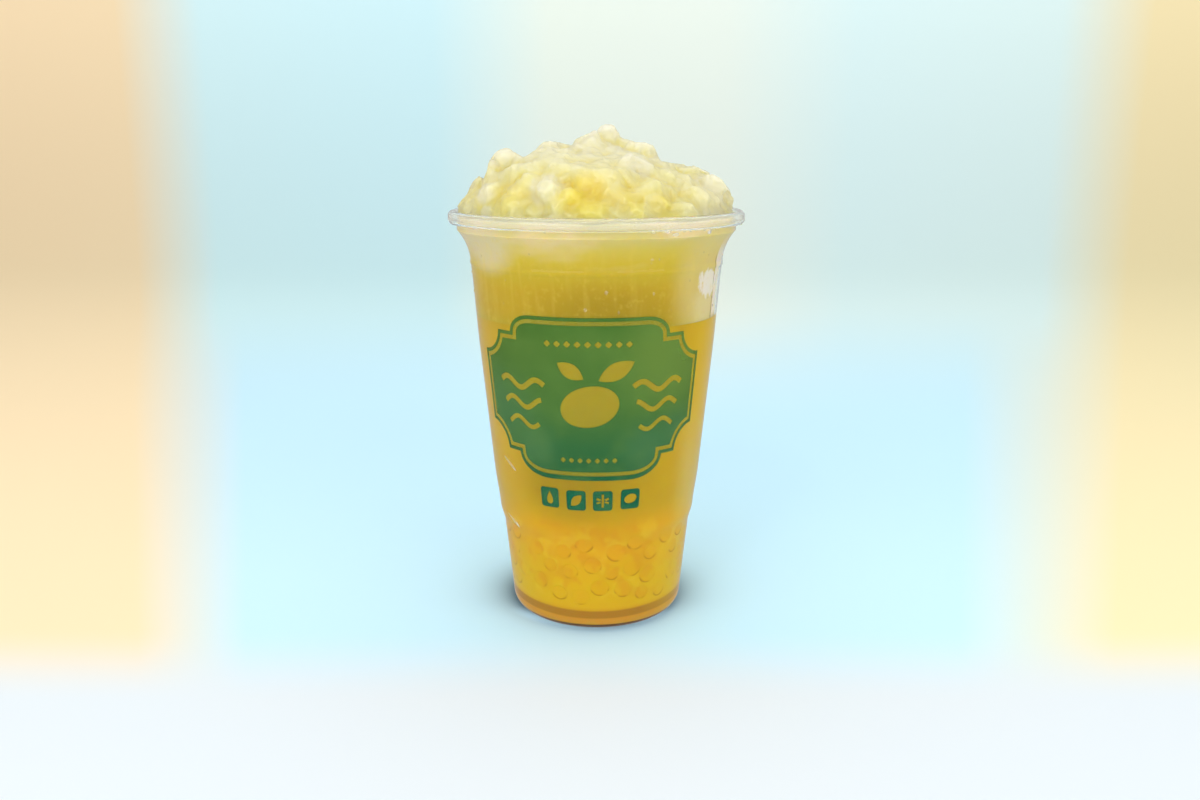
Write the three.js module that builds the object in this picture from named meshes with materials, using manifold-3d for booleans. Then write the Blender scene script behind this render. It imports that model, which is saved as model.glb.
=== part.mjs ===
// A mango bubble tea in a clear plastic cup: fruit pearls on the bottom, the drink above them, and crushed ice
// that floats in the drink and stands in a heap above the rim.
// Millimetres, +Z up. The origin is the centre of the circle on which the cup stands, and -Y is the printed front.
import * as THREE from "three";
import { mergeVertices } from "three/addons/utils/BufferGeometryUtils.js";
import Module from "manifold-3d";

const wasm = await Module();
wasm.setup();

// Driving dimensions of the cup
const SEGMENTS = 48;
const WALL = 0.45;
const RIM_RADIUS = 49;
const CUP_HEIGHT = 138.6;
const CURL_RADIUS = 1.65;
const CURL_SHEET = 0.5;
const LIP_RADIUS = 1.4;
const LIP_DROP = 4.2;
const NECK_RADIUS = 46.2;
const NECK_BASE = 132.4;
const FLARE_RADIUS = 17;
const BEAD = { low: 121.4, high: 122.6, radius: 42.25 };
const WALL_TOP = { radius: 41.85, z: 120.6 };
const STEP_TOP = { radius: 33.95, z: 38.6 };
const STEP_BASE = { radius: 32.3, z: 30.5 };
const HEEL = { radius: 5.5, centre: 24.25, sheet: 0.5 };
const FOOT_INNER = 23.2;
const RECESS = { radius: 20.6, height: 3.6, sheet: 0.55 };

// Driving dimensions of what fills it. FACET is how far a surface may move when slivers are merged.
const GAP = 0.3;
const FACET = 0.2;
const COARSE_SEGMENTS = 24;
const PEARL_RADIUS = 4.1;
const PEARL_ROWS = [8.6, 16.8, 25];
const PEARL_CORE = { top: 30.6, inset: 1.7 };
const PEARLS_ON_TOP = 15;
const DRINK_BASE = 29;
const DRINK_LEVEL = 103.2;
const ICE_BASE = DRINK_LEVEL + GAP;
const HEAP = { foot: 139, shoulder: 156, radius: 45.2, bulge: 3.4, lean: 2.2 };
const SUMMIT = { x: 3, y: 0, height: 3.4, radius: 12 };
const ICE_CHIPS = 84;
const CHIP_RADIUS = { least: 3.4, most: 5.7 };
// The melted pocket, where the ice has drawn back from the wall on the right-hand side
const POCKET = { azimuth: 73, spread: 27, z: 113, height: 11, depth: 4.2 };

// The chunks that stand out of the heap's skyline, from left to right
const CRESTS = [
  { x: -38.2, y: -2, top: 148.4, radius: 5.4 },
  { x: -34.0, y: 3, top: 155.0, radius: 5.4 },
  { x: -29.8, y: -1, top: 159.0, radius: 6.0 },
  { x: -20.5, y: 4, top: 157.6, radius: 5.2 },
  { x: -15.2, y: 0, top: 160.9, radius: 6.2 },
  { x: -4.8, y: 2, top: 162.2, radius: 6.0 },
  { x: 3.6, y: -1, top: 166.2, radius: 5.4 },
  { x: 7.6, y: 4, top: 162.0, radius: 6.4 },
  { x: 15.8, y: -1, top: 161.4, radius: 5.8 },
  { x: 21.5, y: 3, top: 155.2, radius: 5.6 },
  { x: 30.0, y: 0, top: 153.4, radius: 6.2 },
  { x: 37.6, y: -2, top: 150.8, radius: 6.4 },
  { x: 41.0, y: 3, top: 146.6, radius: 4.6 },
];

// Materials
const clearPlastic = new THREE.MeshStandardMaterial({
  name: "clear_plastic",
  color: 0xe9efee,
  roughness: 0.08,
  metalness: 0,
  transparent: true,
  opacity: 0.3,
});
const icyYellow = new THREE.MeshStandardMaterial({
  name: "crushed_ice",
  color: 0xeee3a6,
  roughness: 0.3,
  metalness: 0,
});
const mangoTea = new THREE.MeshStandardMaterial({
  name: "mango_tea",
  color: 0xd0a63c,
  roughness: 0.25,
  metalness: 0,
});
const mangoPearls = new THREE.MeshStandardMaterial({
  name: "mango_pearls",
  color: 0xdda42a,
  roughness: 0.25,
  metalness: 0,
});

const GOLDEN_ANGLE = Math.PI * (3 - Math.sqrt(5));

// A repeatable source of numbers from 0 to 1
function seeded(seed) {
  let state = seed;
  return () => {
    state = (state + 0x6d2b79f5) | 0;
    let mixed = Math.imul(state ^ (state >>> 15), 1 | state);
    mixed = (mixed + Math.imul(mixed ^ (mixed >>> 7), 61 | mixed)) ^ mixed;
    return ((mixed ^ (mixed >>> 14)) >>> 0) / 4294967296;
  };
}

// Points on an arc round (x, z), from one angle to another in degrees
function arc(x, z, radius, from, to, steps) {
  return Array.from({ length: steps + 1 }, (_, i) => {
    const angle = THREE.MathUtils.degToRad(from + ((to - from) * i) / steps);
    return [x + radius * Math.cos(angle), z + radius * Math.sin(angle)];
  });
}

// The outside radius of the cup's wall at a height, from the heel to the neck
function wallRadius(z) {
  if (z <= STEP_BASE.z) {
    const foot = HEEL.centre + HEEL.radius;
    return THREE.MathUtils.mapLinear(z, HEEL.radius, STEP_BASE.z, foot, STEP_BASE.radius);
  }
  if (z <= STEP_TOP.z) {
    const rise = THREE.MathUtils.smoothstep(z, STEP_BASE.z, STEP_TOP.z);
    return THREE.MathUtils.lerp(STEP_BASE.radius, STEP_TOP.radius, rise);
  }
  if (z <= WALL_TOP.z) {
    return THREE.MathUtils.mapLinear(z, STEP_TOP.z, WALL_TOP.z, STEP_TOP.radius, WALL_TOP.radius);
  }
  if (z >= BEAD.low && z <= BEAD.high) return BEAD.radius;
  const climb = Math.max(0, z - WALL_TOP.z - 0.6);
  const flared = WALL_TOP.radius + 0.15 + FLARE_RADIUS - Math.sqrt(FLARE_RADIUS ** 2 - climb ** 2);
  return Math.min(NECK_RADIUS, flared);
}

// Heights at which the wall's line bends, from the foot up
const BENDS = [
  ...[STEP_BASE.z, 32.6, 34.55, 36.5, STEP_TOP.z],
  ...[WALL_TOP.z, BEAD.low, BEAD.high, 123.8, 126.8, 129.7, NECK_BASE],
];

// The cup's inner line, from the middle of its floor to a height, drawn in by a margin
function innerLine(margin, top) {
  const floor = RECESS.height + RECESS.sheet + margin;
  const channel = HEEL.sheet + margin;
  const side = WALL + margin;
  const heel = HEEL.radius - channel;
  return [
    [0, floor],
    [RECESS.radius + 0.3 + margin, floor],
    [22.5 + margin, 2.9 + margin * 0.6],
    [23.7 + margin * 0.6, channel],
    ...arc(HEEL.centre, HEEL.radius, heel, -90, -6, 3),
    ...BENDS.filter((z) => z < top).map((z) => [wallRadius(z) - side, z]),
  ];
}

// A solid turned round the Z axis from its outline
function turned(outline, segments = SEGMENTS) {
  const points = outline.map(([r, z]) => new THREE.Vector2(r, z));
  return new THREE.LatheGeometry(points, segments).rotateX(Math.PI / 2);
}

function bare(geometry) {
  const shape = geometry.clone();
  shape.deleteAttribute("normal");
  shape.deleteAttribute("uv");
  return mergeVertices(shape, 1e-4);
}

function solidOf(geometry) {
  const shape = bare(geometry);
  return new wasm.Manifold(
    new wasm.Mesh({
      numProp: 3,
      vertProperties: new Float32Array(shape.attributes.position.array),
      triVerts: new Uint32Array(shape.index.array),
    }),
  );
}

function geometryOf(solid) {
  const mesh = solid.getMesh();
  const geometry = new THREE.BufferGeometry();
  geometry.setAttribute("position", new THREE.BufferAttribute(mesh.vertProperties, 3));
  geometry.setIndex(new THREE.BufferAttribute(mesh.triVerts, 1));
  geometry.computeVertexNormals();
  return geometry;
}

// The largest body of a solid, without the scraps and slivers that a cut leaves
function mainBody(solid) {
  const body = solid.decompose().reduce((a, b) => (b.volume() > a.volume() ? b : a));
  return body.asOriginal().simplify(FACET);
}

function joined(pieces) {
  return pieces.reduce((whole, piece) => whole.add(piece));
}

// Cup: a thin shell with a raised floor, a stepped wall, a flared neck and a curled rim
function cupGeometry() {
  const curl = { r: RIM_RADIUS - CURL_RADIUS, z: CUP_HEIGHT - CURL_RADIUS };
  const lip = { r: RIM_RADIUS - LIP_RADIUS, z: CUP_HEIGHT - LIP_DROP + LIP_RADIUS };
  const foot = [
    [0, RECESS.height],
    [RECESS.radius, RECESS.height],
    [22.0, 2.6],
    [FOOT_INNER, 0],
  ];
  const rim = [
    ...arc(curl.r, curl.z, CURL_RADIUS - CURL_SHEET, 180, 0, 4),
    ...arc(lip.r, lip.z, LIP_RADIUS - CURL_SHEET, 0, -80, 2),
    ...arc(lip.r, lip.z, LIP_RADIUS, -80, 0, 2),
    ...arc(curl.r, curl.z, CURL_RADIUS, 0, 180, 6),
  ];
  return turned([
    ...foot,
    ...arc(HEEL.centre, HEEL.radius, HEEL.radius, -90, -6, 4),
    ...BENDS.map((z) => [wallRadius(z), z]),
    ...rim,
    ...innerLine(0, CUP_HEIGHT).reverse(),
  ]);
}

// The room inside the cup, with the clearance that the contents keep, open upwards past the heap
function roomInside() {
  const line = innerLine(GAP, CUP_HEIGHT);
  const mouth = NECK_RADIUS - WALL - GAP;
  const brim = CUP_HEIGHT + GAP;
  const above = HEAP.shoulder + 40;
  return solidOf(
    turned([...line, [mouth, brim], [mouth + 1.6, brim], [mouth + 1.6, above], [0, above]]),
  );
}

function cylinderSolid(radius, low, high) {
  return solidOf(turned([[0, low], [radius, low], [radius, high], [0, high]]));
}

function pearl(radius, random) {
  const ball = new THREE.OctahedronGeometry(radius, 1);
  return ball.rotateZ(random() * Math.PI).rotateX(random() * Math.PI);
}

// Pearls: rows of balls against the wall on a core, each row turned half a step from the one below,
// and a loose layer that lies on top
function pearlHeap(grow) {
  const random = seeded(7);
  const clear = WALL + GAP;
  const floor = RECESS.height + RECESS.sheet + GAP;
  const reachAt = (z) => wallRadius(z) - clear - PEARL_CORE.inset + grow;
  const outline = [
    [0, floor],
    [HEEL.centre, floor],
    [reachAt(10), 10],
    [reachAt(PEARL_CORE.top - 3), PEARL_CORE.top - 3],
    [reachAt(PEARL_CORE.top) - 3, PEARL_CORE.top + grow],
    [0, PEARL_CORE.top + grow],
  ];
  const core = turned(outline, COARSE_SEGMENTS);
  const atWall = PEARL_ROWS.flatMap((z, row) => {
    const reach = wallRadius(z) - clear - PEARL_RADIUS * 0.95;
    const count = Math.floor((2 * Math.PI * reach) / (2.06 * PEARL_RADIUS));
    return Array.from({ length: count }, (_, i) => {
      const angle = ((i + row * 0.5 + (random() - 0.5) * 0.2) / count) * 2 * Math.PI;
      const radius = PEARL_RADIUS * (0.9 + 0.1 * random()) + grow;
      const height = z + (random() - 0.5) * 0.9;
      const ball = pearl(radius, random);
      return ball.translate(reach * Math.cos(angle), reach * Math.sin(angle), height);
    });
  });
  const onTop = Array.from({ length: PEARLS_ON_TOP }, (_, i) => {
    const r = (STEP_BASE.radius - clear - PEARL_RADIUS * 1.1) * Math.sqrt((i + 0.5) / PEARLS_ON_TOP);
    const angle = i * GOLDEN_ANGLE;
    const ball = pearl(PEARL_RADIUS + grow, random);
    const height = PEARL_CORE.top + (random() - 0.3) * 2.2;
    return ball.translate(r * Math.cos(angle), r * Math.sin(angle), height);
  });
  return joined([core, ...atWall, ...onTop].map(solidOf));
}

// How far the ice stands back from the wall, which is only in the melted pocket
function pocketDepth(azimuth, z) {
  const across = Math.abs(azimuth - POCKET.azimuth) / POCKET.spread;
  const up = Math.abs(z - POCKET.z) / POCKET.height;
  const nearness = Math.max(0, 1 - across ** 2) * Math.max(0, 1 - up ** 2);
  return POCKET.depth * Math.sqrt(nearness);
}

// The heap's smooth height over a place, before its chips are laid on
function heapHeight(x, y) {
  const share = Math.min(1, Math.hypot(x, y) / HEAP.radius);
  const dome = (HEAP.shoulder - HEAP.foot) * (1 - share ** HEAP.bulge);
  const lean = -HEAP.lean * Math.tanh(x / 18) * (1 - share ** 4);
  const aside = Math.hypot(x - SUMMIT.x, y - SUMMIT.y) / SUMMIT.radius;
  const swell = 0.9 * Math.sin(x * 0.21 + y * 0.13) * Math.cos(y * 0.24) * (1 - share);
  return HEAP.foot + dome + lean + swell + SUMMIT.height * Math.exp(-(aside ** 2));
}

// The ice's core: a column that fills the cup above the drink, and the mound that it carries
function iceCore() {
  const levels = [ICE_BASE, 107, 110.5, 114, 117.5, 121, 125, 129, 133, HEAP.foot];
  const sides = levels.map((z) => [wallRadius(Math.min(z, NECK_BASE)) - WALL - GAP, z]);
  const column = turned([[0, ICE_BASE], ...sides, [0, HEAP.foot]]);
  const sidePlace = column.attributes.position;
  for (let i = 0; i < sidePlace.count; i++) {
    const [x, y, z] = [sidePlace.getX(i), sidePlace.getY(i), sidePlace.getZ(i)];
    const r = Math.hypot(x, y);
    if (r < 1 || z < ICE_BASE + 1) continue;
    const azimuth = THREE.MathUtils.radToDeg(Math.atan2(y, x)) + 90;
    const back = pocketDepth(azimuth, z);
    sidePlace.setXY(i, x * (1 - back / r), y * (1 - back / r));
  }
  const rings = [1, 0.95, 0.82, 0.64, 0.42, 0.2].map((share) => share * HEAP.radius);
  const dome = [[0, HEAP.foot - 2], [HEAP.radius, HEAP.foot - 2]];
  dome.push(...rings.map((r) => [r, HEAP.shoulder]), [0, HEAP.shoulder]);
  const mound = turned(dome, COARSE_SEGMENTS);
  const moundPlace = mound.attributes.position;
  for (let i = 0; i < moundPlace.count; i++) {
    const [x, y] = [moundPlace.getX(i), moundPlace.getY(i)];
    if (moundPlace.getZ(i) > HEAP.foot) moundPlace.setZ(i, heapHeight(x, y));
  }
  return solidOf(column).add(solidOf(mound));
}

// One fragment of crushed ice: a lump with a few uneven faces
function iceChip(radius, random) {
  const chip = bare(new THREE.IcosahedronGeometry(1, 0));
  const place = chip.attributes.position;
  for (let i = 0; i < place.count; i++) {
    const reach = 0.8 + 0.34 * random();
    place.setXYZ(i, place.getX(i) * reach, place.getY(i) * reach, place.getZ(i) * reach);
  }
  chip.scale(radius * 1.08, radius * (0.82 + 0.2 * random()), radius * (0.72 + 0.2 * random()));
  chip.rotateZ(random() * Math.PI * 2).rotateX(random() * Math.PI);
  return chip;
}

// Crushed ice: chips spread evenly over the mound by the golden angle, and the crests on its skyline
function iceHeap() {
  const random = seeded(23);
  const chips = Array.from({ length: ICE_CHIPS }, (_, i) => {
    const share = Math.sqrt((i + 0.5) / ICE_CHIPS);
    const r = (HEAP.radius - 3.4) * share;
    const [x, y] = [r * Math.cos(i * GOLDEN_ANGLE), r * Math.sin(i * GOLDEN_ANGLE)];
    const size = THREE.MathUtils.lerp(CHIP_RADIUS.least, CHIP_RADIUS.most, random());
    const radius = size * (1 - 0.12 * share ** 4);
    const height = heapHeight(x, y) - radius * (0.25 * random() + 0.15 - 0.3 * share ** 4);
    return solidOf(iceChip(radius, random).translate(x, y, height));
  });
  const crests = CRESTS.map(({ x, y, top, radius }) => {
    const lump = iceChip(radius, random);
    lump.computeBoundingBox();
    return solidOf(lump.translate(x, y, top - lump.boundingBox.max.z));
  });
  return joined([iceCore(), ...chips, ...crests]);
}

const room = roomInside();
const pearls = mainBody(pearlHeap(0).intersect(room));
const drink = mainBody(
  cylinderSolid(HEAP.radius, DRINK_BASE, DRINK_LEVEL).intersect(room).subtract(pearlHeap(GAP)),
);
const ice = mainBody(iceHeap().intersect(room));

const cupOfTea = new THREE.Group();
const pieces = [
  ["cup", cupGeometry(), clearPlastic],
  ["mango_pearls", geometryOf(pearls), mangoPearls],
  ["mango_tea", geometryOf(drink), mangoTea],
  ["crushed_ice", geometryOf(ice), icyYellow],
];
for (const [name, geometry, material] of pieces) {
  const mesh = new THREE.Mesh(geometry, material);
  mesh.name = name;
  cupOfTea.add(mesh);
}

export default cupOfTea;
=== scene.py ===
# The look of a mango bubble tea in a clear plastic cup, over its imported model.
# Shapes are worked out in millimetres in the model's own frame, and become metres when a piece is made.
# The printed front of the cup faces -Y.
import math
import random

import bmesh
import bpy
import numpy as np
from mathutils import Matrix, Vector, noise


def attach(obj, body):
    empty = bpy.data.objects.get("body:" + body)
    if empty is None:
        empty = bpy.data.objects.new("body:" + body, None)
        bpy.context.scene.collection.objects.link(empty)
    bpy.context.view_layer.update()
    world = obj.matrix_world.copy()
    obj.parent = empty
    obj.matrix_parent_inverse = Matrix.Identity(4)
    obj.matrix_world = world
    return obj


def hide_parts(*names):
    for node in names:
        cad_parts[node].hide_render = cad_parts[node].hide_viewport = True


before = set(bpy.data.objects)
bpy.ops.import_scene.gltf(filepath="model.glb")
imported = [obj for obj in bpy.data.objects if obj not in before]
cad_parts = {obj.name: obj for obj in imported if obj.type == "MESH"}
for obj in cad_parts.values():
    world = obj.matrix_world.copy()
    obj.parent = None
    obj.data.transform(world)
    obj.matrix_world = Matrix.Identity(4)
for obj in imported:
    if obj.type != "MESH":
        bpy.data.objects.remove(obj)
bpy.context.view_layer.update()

MM = 0.001
scene = bpy.context.scene

# The camera, which was fitted to the photograph
EYE = Vector((1.189, -349.508, 157.756))
TIPPED_DOWN = 13.577
LENS, SENSOR_WIDTH = 31.07, 36.0

# The cup, where a pair is a radius and a height
WALL = 0.45
RIM_RADIUS, CUP_HEIGHT = 49.0, 138.6
CURL_RADIUS, CURL_SHEET = 1.65, 0.5
LIP_RADIUS, LIP_DROP, LIP_EDGE = 1.4, 4.2, 47.75
NECK_RADIUS, NECK_BASE = 46.2, 132.4
FLARE_RADIUS, FLARE_STEP = 17.0, 0.15
WALL_TOP = (41.85, 120.6)
WALL_SWELL = 0.45
STEP_TOP = (33.95, 38.6)
STEP_BASE = (32.3, 30.5)
BEAD_HEIGHT, BEAD_RISE, BEAD_WIDTH = 122.0, 0.18, 0.7
HEEL_RADIUS, HEEL_CENTRE = 5.5, 24.25
FLOOR_HEIGHT, FLOOR_SHEET, FLOOR_RADIUS = 3.6, 0.55, 20.6
FLOOR_EDGE = [(20.8, 3.5), (21.6, 3.05), (22.3, 2.1), (22.8, 0.9), (23.2, 0.2), (23.6, 0.0)]
ROUND_STEPS = 192

# What fills it
DRINK_LEVEL = 104.8
WETTED = 0.38
PEARL_FOOT, PEARL_TOP, PEARL_RADIUS = 13.0, 33.0, 4.1
PEARL_TRIES = 9000
SLUSH_TOP = 138.4
POCKET_AZIMUTH, POCKET_SPREAD = 89.0, 24.0
POCKET_HEIGHT, POCKET_REACH, POCKET_DEPTH = 114.5, 11.5, 0.9

# The heap of ice, where a lump is its place and its radius
HEAP_FOOT, HEAP_SHOULDER, HEAP_RADIUS = 139.0, 156.0, 45.2
HEAP_BULGE, HEAP_LEAN = 3.4, 2.2
HEAP_CUT = 135.0
SKIN_FOOT = HEAP_FOOT - 1.5
SUMMIT_X, SUMMIT_HEIGHT, SUMMIT_RADIUS = 3.0, 3.4, 12.0
WHITE_CHUNKS = [
    (-14.6, -37.5, 146.5, 4.4), (11.5, -25.5, 152.2, 4.4), (37.0, -14.0, 146.2, 5.2),
    (-28.3, -14.0, 155.8, 4.2), (3.5, -3.0, 164.2, 2.7), (-33.0, -24.0, 144.2, 3.2),
    (26.0, 4.0, 152.0, 4.0), (-12.0, 16.0, 156.0, 4.2),
]
KNOBS = [
    (-16.5, -6.0, 157.4, 4.4), (-4.5, -5.0, 160.2, 4.2), (14.5, -4.0, 157.8, 4.6), (24.0, -5.0, 152.2, 4.0),
    (32.5, -4.0, 150.4, 4.2), (-39.0, -4.0, 145.6, 3.4), (40.5, 2.0, 145.6, 3.8),
    (-32.6, -11.0, 151.6, 4.6), (42.4, -3.0, 141.4, 3.4), (-1.4, -4.5, 161.2, 3.0),
]
# The heap's outline as it is seen from the front, measured across the cup's axis
SKYLINE = [
    (-48, 137.7), (-44.7, 141.6), (-42.7, 144.1), (-40.7, 148.0), (-38.7, 149.5), (-36.8, 148.4),
    (-35.2, 154.8), (-32.6, 157.7), (-29.3, 158.7), (-24.1, 155.5), (-20.1, 157.7), (-17.5, 160.6),
    (-13.5, 160.6), (-8, 159.3), (-6.7, 161.5), (-2.1, 163.4), (0.5, 165.4), (2.8, 166.4), (5.8, 165.9),
    (8.0, 162.0), (13.1, 160.3), (15.9, 160.4), (18.5, 159.6), (21.2, 154.3), (24.9, 153.6), (31.5, 153.3),
    (38.1, 150.3), (41.3, 148.6), (43.2, 146.3), (45.2, 142.9), (46.2, 139.8),
]

# The print, which is drawn flat in x and z and laid round the wall, turned a little to the left
PRINT_RADIUS, PRINT_TURN = 38.75, -3.7
INK_LIFT, INK_DEPTH = 0.03, 0.03
PLAQUE_SIDE, PLAQUE_TOP, PLAQUE_BASE = 40.3, 102.8, 63.1
PLAQUE_TRIM, TRIM_START = 0.1, 30
SHELF_START, SHELF_END = 25.8, 31.4
NOTCH_WIDTH, TOP_NOTCH, BASE_NOTCH = 8.8, 7.4, 8.4
MARK_CENTRES = [(-14.431, 48.9), (-4.632, 48.6), (4.776, 48.6), (14.631, 48.8)]

# Colours as on a screen that two finishes share
RIPE_FRUIT = (213, 148, 34)
LIT_FRUIT = (228, 188, 44)


def linear(red, green, blue):
    """A colour given as on a screen, from 0 to 255, in the linear values that shaders take."""
    def channel(value):
        value /= 255
        return value / 12.92 if value <= 0.04045 else ((value + 0.055) / 1.055) ** 2.4
    return channel(red), channel(green), channel(blue), 1.0


def between(value, low, high):
    """0 below low, 1 above high, and a smooth rise from one to the other."""
    share = min(1.0, max(0.0, (value - low) / (high - low)))
    return share * share * (3 - 2 * share)


def arc(x, z, width, start, end, steps, height=None):
    """Points round (x, z) on a circle, or on an oval of another height, between two angles in degrees."""
    height = width if height is None else height
    angles = [math.radians(start + (end - start) * i / steps) for i in range(steps + 1)]
    return [(x + width * math.cos(a), z + height * math.sin(a)) for a in angles]


def only_verts(geometry):
    return [part for part in geometry if isinstance(part, bmesh.types.BMVert)]


def keep_within(vert, limit):
    """Moves a vertex that is past a radius straight in towards the cup's axis."""
    r = math.hypot(vert.co.x, vert.co.y)
    if r > limit:
        vert.co.x *= limit / r
        vert.co.y *= limit / r


def cut_across(shape, place, across, **options):
    """Cuts a bmesh by a plane, and gives the vertices and edges of the cut."""
    everything = shape.verts[:] + shape.edges[:] + shape.faces[:]
    return bmesh.ops.bisect_plane(
        shape, geom=everything, dist=1e-4, plane_co=place, plane_no=across, **options
    )["geom_cut"]


def smooth_out(shape, rounds):
    for _ in range(rounds):
        bmesh.ops.smooth_vert(
            shape, verts=shape.verts, factor=0.5, use_axis_x=True, use_axis_y=True, use_axis_z=True
        )


def spin_round(outline, steps=ROUND_STEPS):
    """A closed solid turned round the cup's axis from its outline."""
    shape = bmesh.new()
    points = [shape.verts.new((r, 0, z)) for r, z in outline]
    lines = [shape.edges.new(pair) for pair in zip(points, points[1:])]
    bmesh.ops.spin(
        shape, geom=points + lines, cent=(0, 0, 0), axis=(0, 0, 1), angle=2 * math.pi, steps=steps,
        use_merge=True,
    )
    bmesh.ops.remove_doubles(shape, verts=shape.verts, dist=1e-4)
    bmesh.ops.recalc_face_normals(shape, faces=shape.faces)
    return shape


def final_bmesh(name, data, prepare=None):
    """The final mesh of some data on an object of its own, as a bmesh, with the object removed again."""
    work = bpy.data.objects.new(name, data)
    scene.collection.objects.link(work)
    if prepare:
        prepare(work)
    mesh = bpy.data.meshes.new_from_object(work.evaluated_get(bpy.context.evaluated_depsgraph_get()))
    bpy.data.objects.remove(work)
    shape = bmesh.new()
    shape.from_mesh(mesh)
    return shape


def make_piece(name, shape, material, replaced=(), sharp=35):
    """Turns a bmesh in millimetres into a piece of the object in metres."""
    bmesh.ops.scale(shape, vec=(MM, MM, MM), verts=shape.verts)
    mesh = bpy.data.meshes.new(name)
    shape.to_mesh(mesh)
    shape.free()
    mesh.materials.append(material)
    mesh.shade_smooth()
    if sharp:
        mesh.set_sharp_from_angle(angle=math.radians(sharp))
    piece = bpy.data.objects.new(name, mesh)
    scene.collection.objects.link(piece)
    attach(piece, "root")
    if replaced:
        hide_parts(*replaced)
    return piece


# Materials

class Finish:
    """A material's node tree, with short words for the nodes that the finishes here are made of."""

    def __init__(self, name):
        self.material = bpy.data.materials.new(name)
        self.material.use_nodes = True
        self.tree = self.material.node_tree
        self.surface = self.tree.nodes["Principled BSDF"]
        self.output = self.tree.nodes["Material Output"]
        self.place = self.node("ShaderNodeTexCoord").outputs["Object"]
        parts = self.node("ShaderNodeSeparateXYZ")
        self.link(self.place, parts.inputs[0])
        self.x, self.y, self.z = parts.outputs

    def node(self, kind, **settings):
        made = self.tree.nodes.new(kind)
        for key, value in settings.items():
            setattr(made, key, value)
        return made

    def link(self, source, target):
        self.tree.links.new(source, target)

    def feed(self, values, sockets):
        """Gives each value to its socket, with a link where the value comes from another node."""
        for value, socket in zip(values, sockets):
            if isinstance(value, bpy.types.NodeSocket):
                self.link(value, socket)
            else:
                socket.default_value = value

    def set(self, **values):
        for key, value in values.items():
            self.surface.inputs[key.replace("_", " ")].default_value = value

    def reckon(self, operation, a, b):
        """The result of one operation on two values."""
        made = self.node("ShaderNodeMath", operation=operation)
        self.feed((a, b), made.inputs)
        return made.outputs[0]

    def plus(self, a, b):
        return self.reckon("ADD", a, b)

    def minus(self, a, b):
        return self.reckon("SUBTRACT", a, b)

    def times(self, first, *others):
        for other in others:
            first = self.reckon("MULTIPLY", first, other)
        return first

    def largest(self, first, *others):
        for other in others:
            first = self.reckon("MAXIMUM", first, other)
        return first

    def rise(self, value, low, high, kind="SMOOTHSTEP", bottom=0.0, top=1.0):
        """From bottom to top as a value goes from low to high, where low may be the higher of the two."""
        made = self.node("ShaderNodeMapRange", interpolation_type=kind)
        names = ("Value", "From Min", "From Max", "To Min", "To Max")
        self.feed((value, low, high, bottom, top), [made.inputs[name] for name in names])
        return made.outputs["Result"]

    def height(self, low, high):
        """0 to 1, evenly, from one height in millimetres to another."""
        return self.rise(self.z, low * MM, high * MM, "LINEAR")

    def step(self, low, high):
        """0 to 1, softly, from one height in millimetres to another, which may be the lower one."""
        return self.rise(self.z, low * MM, high * MM)

    def ramp(self, value, stops):
        """Colours as on a screen, each at its own value from 0 to 1."""
        made = self.node("ShaderNodeValToRGB")
        elements = made.color_ramp.elements
        while len(elements) < len(stops):
            elements.new(0.5)
        for element, (position, colour) in zip(elements, stops):
            element.position = position
            element.color = linear(*colour)
        self.link(value, made.inputs[0])
        return made.outputs["Color"]

    def by_height(self, stops, level=None):
        """Colours as on a screen, each at its own height in millimetres, or at that of another level."""
        low, high = stops[0][0], stops[-1][0]
        share = self.rise(self.z if level is None else level, low * MM, high * MM, "LINEAR")
        return self.ramp(share, [((z - low) / (high - low), colour) for z, colour in stops])

    def grain(self, size, detail=2.0, roughness=0.5, stretch=(1, 1, 1), shift=(0, 0, 0)):
        """Soft noise whose lumps are about size millimetres wide."""
        mapping = self.node("ShaderNodeMapping")
        mapping.inputs["Scale"].default_value = stretch
        mapping.inputs["Location"].default_value = [v * MM for v in shift]
        self.link(self.place, mapping.inputs[0])
        made = self.node("ShaderNodeTexNoise")
        made.inputs["Scale"].default_value = 1 / (size * MM)
        made.inputs["Detail"].default_value = detail
        made.inputs["Roughness"].default_value = roughness
        self.link(mapping.outputs[0], made.inputs["Vector"])
        return made.outputs["Fac"]

    def spot(self, x, y, z, reach, stretch=(1, 1, 1)):
        """1 at a place in millimetres, falling to 0 at its reach."""
        mapping = self.node("ShaderNodeMapping")
        mapping.inputs["Scale"].default_value = [s / (reach * MM) for s in stretch]
        mapping.inputs["Location"].default_value = [-p * s / reach for p, s in zip((x, y, z), stretch)]
        self.link(self.place, mapping.inputs[0])
        ball = self.node("ShaderNodeTexGradient", gradient_type="SPHERICAL")
        self.link(mapping.outputs[0], ball.inputs[0])
        return ball.outputs["Fac"]

    def mix(self, factor, a, b):
        made = self.node("ShaderNodeMix", data_type="RGBA")
        self.feed((factor, a, b), (made.inputs["Factor"], made.inputs["A"], made.inputs["B"]))
        return made.outputs["Result"]

    def tint(self, body, share, most, colour):
        """A colour as on a screen laid over the body, by a share times the most that it may cover."""
        return self.mix(self.times(share, most), body, linear(*colour))

    def patched(self, body, patches):
        """Soft patches over the body: place, reach, stretch, where each is full, most and colour."""
        for place, reach, stretch, full, most, colour in patches:
            body = self.tint(body, self.rise(self.spot(*place, reach, stretch), 0.0, full), most, colour)
        return body

    def attribute(self, name):
        return self.node("ShaderNodeAttribute", attribute_name=name).outputs["Fac"]

    def bump(self, height, strength, distance):
        made = self.node("ShaderNodeBump")
        made.inputs["Strength"].default_value = strength
        made.inputs["Distance"].default_value = distance * MM
        self.link(height, made.inputs["Height"])
        self.link(made.outputs[0], self.surface.inputs["Normal"])

    def colour(self, source):
        self.link(source, self.surface.inputs["Base Color"])

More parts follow.
